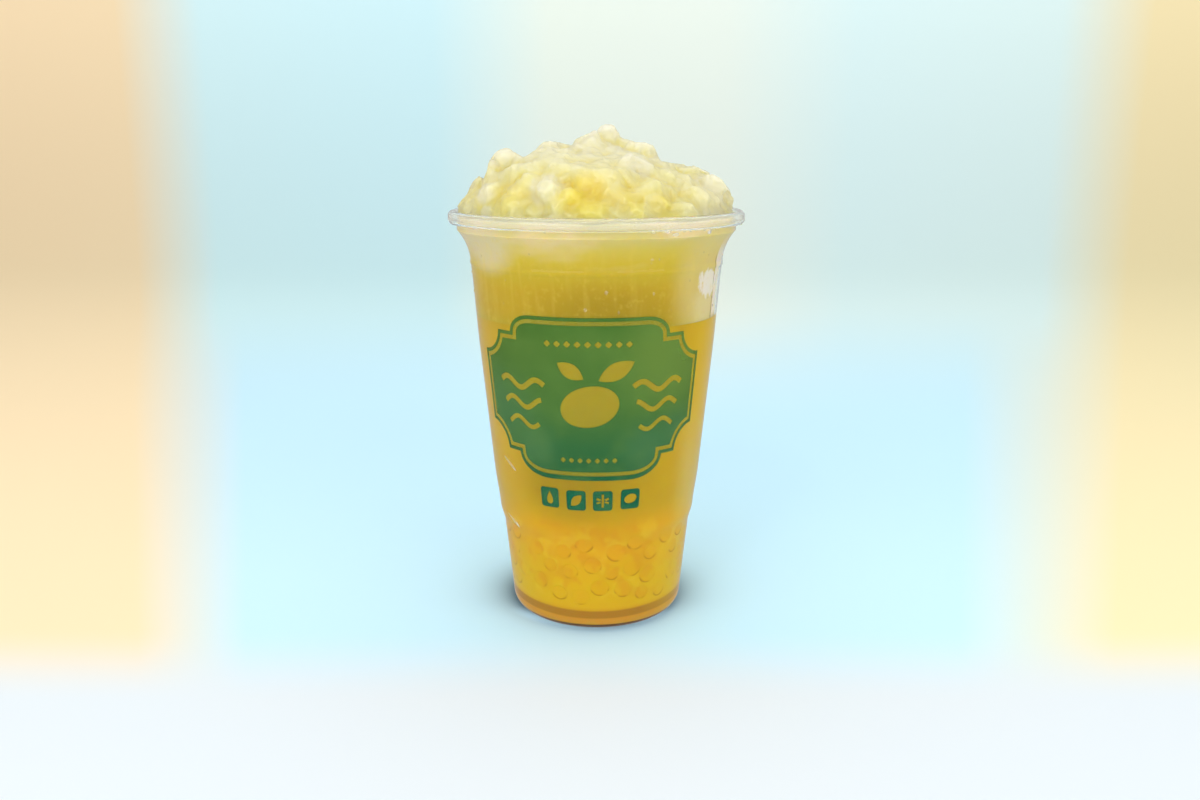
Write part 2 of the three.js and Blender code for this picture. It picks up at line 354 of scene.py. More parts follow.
    def soft(self, weight, radius, scale):
        """Light that spreads under the surface, with its reach in millimetres."""
        self.set(Subsurface_Weight=weight, Subsurface_Radius=radius, Subsurface_Scale=scale * MM)

    def let_through(self, factor, clearness=1.0):
        """Mixes the surface with a see-through one, by a factor."""
        window = self.node("ShaderNodeBsdfTransparent")
        window.inputs["Color"].default_value = (clearness, clearness, clearness, 1)
        both = self.node("ShaderNodeMixShader")
        self.feed((factor, self.surface.outputs[0], window.outputs[0]), both.inputs)
        self.link(both.outputs[0], self.output.inputs["Surface"])

    def clear_to_shadows(self, clearness):
        """Lets shadow rays and scattered rays through, so that the light reaches what is inside."""
        path = self.node("ShaderNodeLightPath")
        rays = self.largest(path.outputs["Is Shadow Ray"], path.outputs["Is Diffuse Ray"])
        self.let_through(rays, clearness)


def blurred_paper():
    """Pale paper with wide soft bands of colour, and with the cup's shadow and a lit patch painted in.

    The paper is white in front of the cup, pale blue round it, and cream, blue and green far behind it.
    """
    finish = Finish("blurred_paper")
    black = (0, 0, 0, 1)
    deep = finish.largest(finish.plus(finish.y, 0.38), 0.05)
    across = finish.rise(finish.reckon("DIVIDE", finish.x, deep), -0.58, 0.58, "LINEAR")
    cream, straw = (245, 223, 186), (245, 230, 186)
    far = finish.ramp(across, [
        (0.0, cream), (0.125, cream), (0.19, (211, 243, 251)), (0.37, (209, 242, 251)),
        (0.46, (236, 246, 238)), (0.6, (236, 246, 240)), (0.7, (221, 245, 249)), (0.86, (222, 245, 248)),
        (0.93, straw), (1.0, straw),
    ])
    near = finish.ramp(across, [
        (0.0, cream), (0.12, cream), (0.21, (197, 234, 254)), (0.8, (198, 236, 255)), (0.93, straw),
        (1.0, straw),
    ])
    bands = finish.mix(finish.rise(finish.y, 0.2, 0.75), near, far)
    paint = finish.mix(finish.rise(finish.y, -0.075, -0.025), linear(219, 228, 236), bands)

    under = finish.spot(-1.5, 8, 0, 100)
    shade = finish.reckon("POWER", 0.24, finish.times(finish.minus(0.71, under), 10.0))
    front = finish.rise(finish.y, -0.002, -0.020)
    shade = finish.times(shade, finish.minus(0.73, finish.times(front, 0.29)))
    dimmed = finish.mix(finish.reckon("MINIMUM", shade, 0.75), paint, black)
    finish.colour(finish.mix(0.08, dimmed, black))
    finish.link(dimmed, finish.surface.inputs["Emission Color"])
    glow = finish.rise(finish.z, 0.0, 0.5, "LINEAR", 0.17, 0.45)
    lit = finish.times(finish.rise(under, 0.64, 0.69), finish.rise(finish.y, -0.008, -0.018), 0.42)
    finish.link(finish.plus(glow, lit), finish.surface.inputs["Emission Strength"])
    finish.set(Roughness=0.9, Specular_IOR_Level=0.1)
    return finish.material


def clear_plastic():
    """Clear and glossy, a little milky where the rim is curled, and tinted tan at the foot as painted contact
    shade.
    """
    finish = Finish("clear_plastic")
    finish.set(IOR=1.2, Coat_Weight=0.2, Coat_Roughness=0.03)
    curled = finish.step(133.6, 136)
    clearness = finish.minus(1.0, finish.times(curled, 0.07))
    finish.link(clearness, finish.surface.inputs["Transmission Weight"])
    finish.link(finish.plus(finish.times(curled, 0.09), 0.03), finish.surface.inputs["Roughness"])
    # Tan below 2.4 mm: painted contact shade where the cup meets the floor
    finish.colour(finish.mix(finish.step(2.4, 1.2), (0.985, 0.985, 0.975, 1), linear(206, 172, 118)))
    finish.bump(finish.grain(16, 1.0), 0.05, 0.6)
    finish.clear_to_shadows(0.97)
    return finish.material


def clear_water(name, share, roughness):
    """Water that stands in drops, clear by a share and with a whitish skin for the rest that paints
    highlights on them.
    """
    finish = Finish(name)
    finish.set(Base_Color=(0.95, 0.94, 0.89, 1), Roughness=roughness, IOR=1.33, Transmission_Weight=share)
    finish.clear_to_shadows(0.97)
    return finish.material


def ripe_patches(finish):
    """Where the fruit is riper, in the same places in the pearls and in the drink round them."""
    return finish.rise(finish.grain(7, 2.0, 0.55, shift=(9, 2, 4)), 0.5, 0.62)


def lit_foot(finish, body, most):
    """The light on the lower right, on the pearls and on the drink round them."""
    return finish.patched(body, [((28, -17, 22), 20, (1, 1, 0.7), 0.8, most, LIT_FRUIT)])


def cloudy_tea():
    """Yellow and cloudy, brighter at the foot, with a brown line of painted shade where the floor's edge
    shows through.
    """
    finish = Finish("mango_tea")
    # The lines at the foot lie 0.9 mm higher at the two sides than in front
    side = finish.minus(1.0, finish.reckon("POWER", finish.times(finish.y, 33.0), 2.0))
    # Darkest at the very bottom as painted contact shadow, with a brown band of painted shade at the floor's
    # edge
    foot = finish.by_height([
        (0, (96, 62, 18)), (1.3, (110, 72, 22)), (1.9, (196, 134, 46)), (2.6, (214, 154, 52)),
        (4.9, (210, 150, 52)), (5.4, (180, 127, 44)), (7.6, (178, 126, 40)), (8.2, (212, 163, 36)),
        (9.4, (219, 175, 34)), (12, (219, 176, 34)),
    ], level=finish.plus(finish.z, finish.times(side, -0.9 * MM)))
    tall = finish.by_height([
        (0, (219, 176, 34)), (20, (220, 177, 32)), (31, (221, 167, 36)), (38, (218, 164, 34)),
        (42, (206, 162, 34)), (46, (196, 159, 34)), (80, (194, 158, 34)), (104, (188, 155, 32)),
    ])
    body = finish.mix(finish.step(10, 12), foot, tall)
    patches = finish.rise(finish.grain(13, 2.0, 0.6), 0.42, 0.72)
    body = finish.tint(body, finish.times(patches, finish.step(8, 12)), 0.3, (210, 170, 26))
    low = finish.times(finish.step(10, 15), finish.step(43, 37))
    body = finish.tint(body, finish.times(ripe_patches(finish), low), 0.42, RIPE_FRUIT)
    young = finish.rise(finish.grain(9, 2.0, 0.55, shift=(1, 8, 2)), 0.54, 0.66)
    body = finish.tint(body, finish.times(young, low), 0.42, (228, 192, 48))
    # Painted shade in the middle of the front, and painted light on the right and the left
    body = finish.patched(body, [
        ((-2, -36, 59), 30, (0.9, 1, 1), 0.9, 0.85, (168, 142, 32)),
        ((-12, -34, 56), 22, (0.8, 1, 1.2), 0.8, 0.5, (158, 132, 36)),
        ((35, -12, 60), 19, (1, 1, 0.35), 0.6, 0.6, (210, 186, 100)),
        ((38, -14, 92), 22, (1, 1, 0.5), 0.6, 0.8, (210, 171, 4)),
        ((-33, -19, 66), 20, (1, 1, 0.35), 0.7, 0.6, (200, 162, 50)),
    ])
    body = lit_foot(finish, body, 0.35)
    # Painted contact shadow: dark brown below 2.4 mm, fading out by 2.88 mm
    finish.colour(finish.mix(finish.step(2.88, 2.4), body, linear(104, 66, 22)))
    finish.set(Roughness=0.3, Specular_IOR_Level=0.0)
    finish.soft(1.0, (1.0, 0.55, 0.12), 1.0)
    return finish.material


def wet_slush():
    """Fine ice in the drink: pale under the rim, olive yellow below, and frosted beside the melted pocket."""
    finish = Finish("slush")
    tall = finish.by_height([
        (0, (184, 157, 46)), (104, (184, 160, 46)), (110, (188, 158, 42)), (116, (192, 162, 44)),
        (121, (195, 172, 52)), (125, (203, 180, 62)), (129, (210, 190, 86)), (133, (208, 196, 128)),
        (139, (208, 198, 140)),
    ])
    blots = finish.rise(finish.grain(13, 2.0, 0.5, stretch=(0.6, 0.6, 1.5), shift=(3, 1, 5)), 0.45, 0.65)
    body = finish.tint(tall, blots, finish.height(122, 136), (226, 206, 160))
    # The first patch is painted shade in the middle of the front; the other two are cream patches on the
    # upper left and on the right
    body = finish.patched(body, [
        ((2, -41, 106), 27, (0.8, 1, 1.5), 0.8, 0.6, (154, 132, 34)),
        ((-35, -26, 129), 17, (1, 1, 1.5), 0.6, 0.75, (213, 201, 166)),
        ((34, -26, 118), 17, (1, 1, 0.6), 0.7, 0.6, (214, 198, 136)),
    ])

    # Creamy ice round the pocket, and torn white ice in front of it
    rough = finish.grain(4.5, 4.0, 0.7)
    cream = finish.plus(finish.spot(35.5, -22, 109.5, 14), finish.times(rough, 0.6))
    body = finish.tint(body, finish.rise(cream, 0.5, 1.1), 0.9, (214, 198, 140))
    ragged = finish.grain(3, 3.0, 0.65, stretch=(1, 1, 0.5), shift=(2, 5, 9))
    torn = finish.plus(finish.spot(35.5, -21.5, 117, 8.5, (1, 1, 1.35)), finish.times(ragged, 1.3))
    near = finish.rise(finish.spot(35.5, -21.5, 117, 9, (1, 1, 1.35)), 0.0, 0.3)
    body = finish.tint(body, finish.times(finish.rise(torn, 0.86, 1.08), near), 0.9, (228, 222, 212))

    # A dark line of painted shade on the upright plane where off is 0, where the pocket's edge meets the
    # wall, and a milky strip behind it
    off = finish.plus(finish.times(finish.x, 0.423), finish.times(finish.y, 0.906))
    pocket_edge_shade = finish.times(
        finish.rise(finish.reckon("ABSOLUTE", off, 0.0), 0.45 * MM, 0.1 * MM),
        finish.rise(finish.spot(37.5, -17, 113.5, 14), 0.0, 0.3), finish.rise(rough, 0.35, 0.55),
    )
    body = finish.mix(pocket_edge_shade, body, linear(118, 96, 62))
    milky = finish.times(
        finish.rise(off, 0.3 * MM, 1.4 * MM), finish.rise(off, 24 * MM, 14 * MM),
        finish.step(104, 107.2), finish.step(132, 124), finish.rise(finish.x, 0.0, 10 * MM),
    )
    body = finish.tint(body, milky, 0.85, (230, 222, 208))

    specks = finish.rise(finish.grain(1.8, 2.0, 0.6, shift=(6, 1, 3)), 0.52, 0.72)
    body = finish.tint(body, specks, 0.22, (216, 192, 84))
    runs = finish.rise(finish.grain(2.4, 1.0, 0.5, stretch=(1, 1, 0.12)), 0.5, 0.75)
    finish.colour(finish.tint(body, runs, 0.1, (232, 206, 100)))
    finish.set(Roughness=0.35, Specular_IOR_Level=0.0)
    finish.soft(1.0, (1.0, 0.7, 0.25), 3.0)
    return finish.material


def heaped_ice():
    """Pale melting ice that holds more of the yellow syrup in its hollows and in a pool in front."""
    finish = Finish("crushed_ice")
    pale = finish.by_height([
        (138, (213, 200, 116)), (145, (213, 201, 124)), (150.04, (212, 204, 140)),
        (157.04, (214, 209, 168)), (166, (214, 208, 180)),
    ])
    pale = finish.tint(pale, finish.rise(finish.grain(11, 2.0), 0.45, 0.65), 0.35, (214, 210, 176))
    syrup = finish.mix(finish.height(140, 156), linear(221, 200, 78), linear(224, 214, 144))
    body = finish.mix(finish.attribute("hollow"), pale, syrup)
    beige = finish.largest(finish.spot(36, -24, 143, 14), finish.spot(43, -7, 143, 9))
    body = finish.tint(body, finish.rise(beige, 0.0, 0.7), 0.6, (213, 206, 170))
    body = finish.tint(body, finish.rise(finish.attribute("chip"), 0.55, 0.95), 0.35, (213, 208, 170))
    pool = finish.rise(finish.spot(-2.8, -41, 144.2, 12, (1.1, 1, 1)), 0.0, 0.75)
    for x, y, z, reach, share in (
        (-26, -32, 145, 8, 0.45), (20, -39.2, 141, 8, 0.6), (9, -41, 143.5, 10, 0.55),
        (4.5, -37, 149, 9, 0.25),
    ):
        pool = finish.largest(pool, finish.times(finish.rise(finish.spot(x, y, z, reach), 0.0, 0.8), share))
    body = finish.tint(body, pool, 0.85, (214, 189, 47))
    frost = [finish.rise(finish.spot(x, y, z, 1.7 * size), 0.1, 0.45) for x, y, z, size in WHITE_CHUNKS]
    finish.colour(finish.tint(body, finish.largest(*frost), 0.6, (212, 207, 182)))
    finish.set(Roughness=0.4, Coat_Weight=0.25, Coat_Roughness=0.15)
    finish.soft(1.0, (1.0, 0.92, 0.65), 25.0)
    finish.bump(finish.grain(1.3, 2.0), 0.3, 0.4)
    return finish.material


def fruit_pearls():
    """Orange-yellow pearls, each a little different, with broken darker outlines of painted shade, heavier
    under them.
    """
    finish = Finish("mango_pearls")
    body = finish.by_height([
        (0, (219, 176, 34)), (20, (220, 176, 32)), (31, (221, 167, 36)), (40, (214, 160, 34)),
    ])
    body = finish.tint(body, finish.attribute("tone"), 0.25, (210, 154, 22))
    body = finish.tint(body, ripe_patches(finish), 0.42, RIPE_FRUIT)
    body = lit_foot(finish, body, 0.3)
    # The outlines are painted shade round each pearl, darker on its lower side
    rim = finish.rise(finish.attribute("edge"), 0.72, 0.95)
    broken = finish.rise(finish.grain(5, 1.0, shift=(4, 7, 1)), 0.44, 0.56)
    finish.colour(finish.tint(body, finish.times(rim, broken), 0.6, (172, 116, 20)))
    finish.set(Roughness=0.3, Specular_IOR_Level=0.0)
    finish.soft(1.0, (1.0, 0.5, 0.1), 0.4)
    return finish.material


def thin_ink(name, share, stops, uneven=False):
    """Ink that lets a share of the drink show, in a colour for each height, even or in soft patches."""
    finish = Finish(name)
    body = finish.by_height(stops)
    if uneven:
        body = finish.patched(body, [((24, -33, 95), 24, (1, 1, 1), 0.8, 0.7, (120, 152, 66))])
        cool = [finish.rise(finish.spot(x, y, z, reach), 0.0, 0.8) for x, y, z, reach in (
            (-30, -25, 76, 20), (-20, -31, 66, 12), (17, -33, 66, 13), (25, -27, 69, 13),
        )]
        body = finish.tint(body, finish.largest(*cool), 0.5, (86, 138, 90))
        patches = finish.rise(finish.grain(9, 2.0, 0.6), 0.4, 0.7)
        body = finish.tint(body, patches, 0.25, (112, 150, 70))
    finish.colour(body)
    finish.set(Roughness=0.4, Specular_IOR_Level=0.1)
    finish.let_through(share)
    return finish.material


def green_ink():
    """The ink of the print, greener towards its foot."""
    return thin_ink("print_ink", 0.35, [
        (0, (0, 108, 80)), (50, (0, 108, 80)), (58, (40, 106, 64)), (66, (54, 114, 64)),
        (80, (82, 127, 58)), (100, (88, 129, 54)), (109, (76, 122, 48)),
    ], uneven=True)


def pale_shading_wash():
    """A thin greenish film over the gaps of the print, which darkens the drink seen through them as painted
    shade.
    """
    return thin_ink("print_shading_wash", 0.86, [(0, (140, 168, 70)), (109, (150, 170, 70))])


# Camera, lights and backdrop, in metres

def add_camera():
    data = bpy.data.cameras.new("camera")
    data.lens = LENS
    data.sensor_width = SENSOR_WIDTH
    camera = bpy.data.objects.new("camera", data)
    camera.location = EYE * MM
    camera.rotation_euler = (math.radians(90 - TIPPED_DOWN), 0, 0)
    scene.collection.objects.link(camera)
    scene.camera = camera


def add_softbox(name, place, aim_height, width, height, power, colour=(1, 1, 1)):
    """A rectangular light that faces a point on the cup's axis."""
    data = bpy.data.lights.new(name, "AREA")
    data.shape = "RECTANGLE"
    data.size, data.size_y = width, height
    data.energy = power
    data.color = colour
    light = bpy.data.objects.new(name, data)
    light.location = place
    way = Vector((0, 0, aim_height)) - Vector(place)
    light.rotation_euler = way.to_track_quat("-Z", "Y").to_euler()
    scene.collection.objects.link(light)


def add_lights():
    warm = (1, 0.97, 0.93)
    add_softbox("key_softbox", (-0.65, -0.95, 0.55), 0.08, 1.1, 1.0, 5.2, warm)
    add_softbox("fill_softbox", (0.75, -0.90, 0.50), 0.08, 1.0, 1.0, 4.2, warm)
    add_softbox("top_softbox", (0.0, 0.1, 0.95), 0.1, 0.9, 0.9, 1.8)
    add_softbox("strip_softbox", (0.0, -0.75, 0.62), 0.13, 1.1, 0.04, 1.7)
    add_softbox("glint_light", (-0.22, -0.62, 0.72), 0.13, 0.05, 0.05, 0.4)


def add_room():
    """A pale room, dim on the camera's side and bright behind the cup, and even where it is mirrored."""
    world = bpy.data.worlds.new("pale_room")
    world.use_nodes = True
    nodes, links = world.node_tree.nodes, world.node_tree.links
    nodes["Background"].inputs["Color"].default_value = (1.0, 0.985, 0.965, 1)
    way = nodes.new("ShaderNodeTexCoord")
    parts = nodes.new("ShaderNodeSeparateXYZ")
    room = nodes.new("ShaderNodeMapRange")
    for socket, value in (("From Min", -0.9), ("From Max", 0.3), ("To Min", 0.35), ("To Max", 0.85)):
        room.inputs[socket].default_value = value
    links.new(way.outputs["Generated"], parts.inputs[0])
    links.new(parts.outputs["Y"], room.inputs["Value"])
    path = nodes.new("ShaderNodeLightPath")
    mirrored = nodes.new("ShaderNodeMix")
    links.new(path.outputs["Is Glossy Ray"], mirrored.inputs["Factor"])
    links.new(room.outputs["Result"], mirrored.inputs["A"])
    mirrored.inputs["B"].default_value = 0.52
    links.new(mirrored.outputs["Result"], nodes["Background"].inputs["Strength"])
    scene.world = world
    scene.view_settings.view_transform = "Standard"


def add_backdrop():
    """A wide sheet of paper that lies under the cup and curves up behind it."""
    near, bend, radius, top, width = -2.5, 1.0, 0.7, 3.0, 7.0
    line = [(near, 0.0)] + arc(bend, radius, radius, -90, 0, 12) + [(bend + radius, top)]
    sweep = bmesh.new()
    points = [sweep.verts.new((-width / 2, y, z)) for y, z in line]
    edges = [sweep.edges.new(pair) for pair in zip(points, points[1:])]
    drawn = only_verts(bmesh.ops.extrude_edge_only(sweep, edges=edges)["geom"])
    bmesh.ops.translate(sweep, vec=(width, 0, 0), verts=drawn)
    bmesh.ops.recalc_face_normals(sweep, faces=sweep.faces)
    mesh = bpy.data.meshes.new("floor")
    sweep.to_mesh(mesh)
    sweep.free()
    mesh.shade_smooth()
    mesh.materials.append(blurred_paper())
    floor = bpy.data.objects.new("floor", mesh)
    scene.collection.objects.link(floor)
    floor.visible_glossy = False


# The cup

def wall_radius(z):
    """The outside radius of the cup's wall at a height, from the heel to the neck."""
    if z <= STEP_BASE[1]:
        share = (z - HEEL_RADIUS) / (STEP_BASE[1] - HEEL_RADIUS)
        foot = HEEL_CENTRE + HEEL_RADIUS
        return foot + share * (STEP_BASE[0] - foot)
    if z <= STEP_TOP[1]:
        return STEP_BASE[0] + (STEP_TOP[0] - STEP_BASE[0]) * between(z, STEP_BASE[1], STEP_TOP[1])
    bead = BEAD_RISE * math.exp(-((z - BEAD_HEIGHT) / BEAD_WIDTH) ** 2)
    if z <= WALL_TOP[1]:
        share = (z - STEP_TOP[1]) / (WALL_TOP[1] - STEP_TOP[1])
        swell = WALL_SWELL * between(share, 0.0, 0.15) * between(1 - share, 0.0, 0.35)
        return STEP_TOP[0] + share * (WALL_TOP[0] - STEP_TOP[0]) + swell + bead
    climb = max(0.0, z - WALL_TOP[1] - 0.6)
    flared = WALL_TOP[0] + FLARE_STEP * between(z, WALL_TOP[1], WALL_TOP[1] + 0.8)
    flared += FLARE_RADIUS - math.sqrt(FLARE_RADIUS**2 - climb**2)
    return min(NECK_RADIUS, flared + bead)


def wall_heights(top):
    """Heights up the wall, close together where it bends."""
    rows = [10, 16, 22, 27] + [29 + 0.8 * i for i in range(14)] + [43 + 3.25 * i for i in range(23)] + [117]
    rows += [119.4 + 0.3 * i for i in range(18)] + [125.4 + 0.7 * i for i in range(10)] + [NECK_BASE]
    return [z for z in rows if z < top]


def inner_line(margin, top=CUP_HEIGHT):
    """The cup's inner line from the middle of its floor up the wall, moved inwards by a margin."""
    floor = FLOOR_HEIGHT + FLOOR_SHEET + margin
    line = [(0, floor), (FLOOR_RADIUS - 0.8 + margin, floor), (FLOOR_RADIUS + 0.3 + margin, floor - 0.25)]
    line += [(22.5 + margin, 2.9 + 0.6 * margin), (23.7 + 0.6 * margin, 0.5 + margin)]
    line += arc(HEEL_CENTRE, HEEL_RADIUS, HEEL_RADIUS - 0.5 - margin, -90, -6, 12)
    return line + [(wall_radius(z) - WALL - margin, z) for z in wall_heights(top)]


def add_cup(plastic):
    """The cup as one thin shell: under its floor, up the outside, round the rim and down the inside."""
    curl_r, curl_z = RIM_RADIUS - CURL_RADIUS, CUP_HEIGHT - CURL_RADIUS
    lip_r, lip_z = RIM_RADIUS - LIP_RADIUS, CUP_HEIGHT - LIP_DROP + LIP_RADIUS
    outline = [(0, FLOOR_HEIGHT), (FLOOR_RADIUS - 1, FLOOR_HEIGHT)] + FLOOR_EDGE
    outline += arc(HEEL_CENTRE, HEEL_RADIUS, HEEL_RADIUS, -90, -6, 14)
    outline += [(wall_radius(z), z) for z in wall_heights(CUP_HEIGHT)]
    outline += arc(curl_r, curl_z, CURL_RADIUS - CURL_SHEET, 180, 0, 10)
    outline += arc(lip_r, lip_z, LIP_RADIUS - CURL_SHEET, 0, -80, 5)
    outline += arc(lip_r, lip_z, LIP_RADIUS, -80, 0, 7)
    outline += arc(curl_r, curl_z, CURL_RADIUS, 0, 180, 14)
    outline += reversed(inner_line(0))
    make_piece("clear_cup", spin_round(outline), plastic, ["cup"], sharp=50)


# What fills it

def add_tea(tea):
    """The drink, wet against the wall."""
    outline = inner_line(-WETTED, DRINK_LEVEL)
    outline += [(wall_radius(DRINK_LEVEL) - WALL + WETTED, DRINK_LEVEL), (0, DRINK_LEVEL)]
    make_piece("cloudy_tea", spin_round(outline), tea, ["mango_tea"])


def add_pearls(skin):
    """Fruit pearls pressed against the wall, each flattened where it meets the plastic."""
    rng = random.Random(5)
    shape = bmesh.new()
    edge = shape.verts.layers.float.new("edge")
    tone = shape.verts.layers.float.new("tone")
    angles = [math.radians(d) for d in (0, 8, 16, 24, 30, 36, 42, 48, 54, 60, 68, 80, 100, 125, 152, 180)]
    placed = []
    for _ in range(PEARL_TRIES):
        radius = PEARL_RADIUS * rng.uniform(0.86, 1.06)
        press = rng.uniform(0.9, 1.7)
        z = rng.uniform(PEARL_FOOT, PEARL_TOP)
        angle = rng.uniform(0, 2 * math.pi)
        reach = wall_radius(z) - WALL - radius + press + WETTED
        place = Vector((reach * math.cos(angle), reach * math.sin(angle), z))
        if any((place - other).length < 0.84 * (radius + size) for other, size in placed):
            continue
        placed.append((place, radius))
        outward = Vector((math.cos(angle), math.sin(angle), -0.08)).normalized()
        turn = Vector((0, 0, 1)).rotation_difference(outward).to_matrix()
        across = math.sqrt(radius**2 - (radius - press) ** 2)
        shade = rng.random()
        ball = spin_round([(radius * math.sin(a), radius * math.cos(a)) for a in angles], 28)
        kept = {}
        for vert in ball.verts:
            spot = place + turn @ vert.co
            made = shape.verts.new(spot)
            keep_within(made, wall_radius(max(spot.z, 9)) - WALL + WETTED + 0.03)
            # Out towards the rim of the flat, and raised on the lower side, where the outline's painted shade
            # goes
            aside = math.hypot(vert.co.x, vert.co.y)
            under = 0.5 - 0.5 * (spot - place).z / max(aside, 0.1)
            made[edge] = min(1.0, aside / across) * min(1.0, 0.45 + 0.65 * under)
            made[tone] = shade
            kept[vert] = made
        for face in ball.faces:
            shape.faces.new([kept[v] for v in face.verts])
        ball.free()
    make_piece("fruit_pearls", shape, skin, ["mango_pearls"], sharp=30)


def pocket_depth(azimuth, z):
    """How far the melting ice stands back from the wall."""
    across = abs(azimuth - POCKET_AZIMUTH) / POCKET_SPREAD
    up = abs(z - POCKET_HEIGHT) / POCKET_REACH
    return POCKET_DEPTH * math.sqrt(max(0, 1 - across**2)) * math.sqrt(max(0, 1 - up**2))


def add_slush(slush):
    """The column of wet ice between the drink's level and the rim, with the melted pocket on its right."""
    base = DRINK_LEVEL - 0.3
    edge = wall_radius(DRINK_LEVEL) - WALL + WETTED
    mouth = NECK_RADIUS - WALL
    middle = 30
    wall = [(edge, DRINK_LEVEL)]
    wall += [(r, z) for r, z in inner_line(-WETTED) if z > DRINK_LEVEL + 0.4 and r > middle]
    outline = [(0, base), (edge - 0.5, base), wall[0]]
    for (r0, z0), (r1, z1) in zip(wall, wall[1:]):
        steps = max(1, math.ceil(z1 - z0))
        outline += [(r0 + (r1 - r0) * i / steps, z0 + (z1 - z0) * i / steps) for i in range(1, steps + 1)]
    outline += [(mouth + 0.02, 134), (mouth - 0.1, 136.5), (44.2, 138), (middle, SLUSH_TOP), (0, SLUSH_TOP)]
    shape = spin_round(outline)
    for vert in shape.verts:
        r = math.hypot(vert.co.x, vert.co.y)
        if r < middle or vert.co.z < base + 0.1:
            continue
        azimuth = math.degrees(math.atan2(vert.co.y, vert.co.x)) + 90
        back = pocket_depth(azimuth, vert.co.z)
        if back > 0:
            keep_within(vert, r - back * (0.85 + 0.45 * noise.noise(vert.co * 0.35)))
    make_piece("slush_column", shape, slush, ["crushed_ice"])


# The heap

def heap_height(x, y):
    """The heap's smooth height over a place."""
    share = min(1, math.hypot(x, y) / HEAP_RADIUS)
    dome = (HEAP_SHOULDER - HEAP_FOOT) * (1 - share**HEAP_BULGE)
    lean = -HEAP_LEAN * math.tanh(x / 18) * (1 - share**4)
    aside = math.hypot(x - SUMMIT_X, y) / SUMMIT_RADIUS
    swell = 0.9 * math.sin(x * 0.21 + y * 0.13) * math.cos(y * 0.24) * (1 - share)
    return HEAP_FOOT + dome + lean + swell + SUMMIT_HEIGHT * math.exp(-(aside**2))


def ice_lump(shape, place, radius, rng, subdivisions=2):
    """One lump of ice with nine broken flats, added to a bmesh."""
    made = bmesh.ops.create_icosphere(shape, subdivisions=subdivisions, radius=1)["verts"]
    for _ in range(9):
        flat = Vector((rng.gauss(0, 1), rng.gauss(0, 1), rng.gauss(0, 1))).normalized()
        reach = rng.uniform(0.5, 0.85)
        for vert in made:
            vert.co -= flat * max(0.0, vert.co.dot(flat) - reach)
    turn = Matrix.Rotation(rng.uniform(0, 6.3), 4, "Z") @ Matrix.Rotation(rng.uniform(0, 3.1), 4, "X")
    depth = radius * rng.uniform(0.9, 1.15)
    squash = Matrix.Diagonal((radius * 1.25, depth, radius * rng.uniform(0.75, 1.05), 1))
    bmesh.ops.transform(shape, matrix=Matrix.Translation(place) @ turn @ squash, verts=made)


def scatter_lumps(shape, rng, count, sizes, rises):
    """Lumps spread evenly over the heap, with sizes and heights over it drawn from two ranges."""
    golden = math.pi * (3 - math.sqrt(5))
    for i in range(count):
        r = (HEAP_RADIUS - 1.0) * math.sqrt((i + 0.5) / count)
        angle = i * golden + rng.uniform(-0.3, 0.3)
        x, y = r * math.cos(angle), r * math.sin(angle)
        z = heap_height(x, y) + rng.uniform(*rises)
        ice_lump(shape, Vector((x, y, z)), rng.uniform(*sizes), rng)


def melted(lumps, size, rounds):
    """The lumps of a bmesh grown together into one skin with cells of a size, and smoothed."""
    rough = bpy.data.meshes.new("rough_heap")
    lumps.to_mesh(rough)
    lumps.free()

    def remesh(work):
        melt = work.modifiers.new("melt", "REMESH")
        melt.mode = "VOXEL"
        melt.voxel_size = size

    shape = final_bmesh("rough_heap", rough, remesh)
    smooth_out(shape, rounds)
    return shape


def lumpy_heap():
    """The model's ice from the cup's neck up, with smaller lumps melted into it and fresher ones on top."""
    rng = random.Random(11)
    lumps = bmesh.new()
    lumps.from_mesh(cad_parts["crushed_ice"].data)
    bmesh.ops.remove_doubles(lumps, verts=lumps.verts, dist=1e-7)
    bmesh.ops.scale(lumps, vec=(1 / MM, 1 / MM, 1 / MM), verts=lumps.verts)
    cut = cut_across(lumps, (0, 0, HEAP_CUT), (0, 0, -1), clear_outer=True)
    bmesh.ops.holes_fill(lumps, edges=[e for e in cut if isinstance(e, bmesh.types.BMEdge)], sides=0)
    scatter_lumps(lumps, rng, 130, (2.8, 5.0), (-1.6, 0.9))
    lumps = melted(lumps, 0.9, 20)
    for x, y, z, radius in WHITE_CHUNKS + KNOBS:
        ice_lump(lumps, Vector((x, y, z)), radius, rng, 3)
    scatter_lumps(lumps, rng, 44, (2.4, 4.6), (-1.5, -0.2))
    return melted(lumps, 0.62, 10)


def broken(place, size, height, tilt):
    """How far a place stands out on its chip, and the chip's tone.

    Chips of a size fill all space, and each lies at its own height and slant.
    """
    _, corners = noise.voronoi(place / size)
    corner = corners[0]
    own = noise.cell_vector(corner * 7.3 + Vector((3.1, 1.7, 9.4)))
    slant = noise.cell_vector(corner * 5.9 + Vector((8.2, 4.4, 1.3)))
    tipped = (place - corner * size).dot(2 * slant - Vector((1, 1, 1)))
    return height * (2 * own.x - 1) + tilt * tipped, own.y


def break_faces(shape):
    """Breaks the heap's skin into chips of two sizes, and gives the larger chip's tone at each vertex."""
    shape.normal_update()
    tones = np.zeros(len(shape.verts))
    for vert in shape.verts:
        if vert.co.z > SKIN_FOOT:
            coarse, tones[vert.index] = broken(vert.co, 5.6, 0.26, 0.13)
            fine, _ = broken(vert.co + Vector((7, 3, 5)), 2.1, 0.11, 0.18)
            vert.co += vert.normal * (coarse + fine)
    return tones


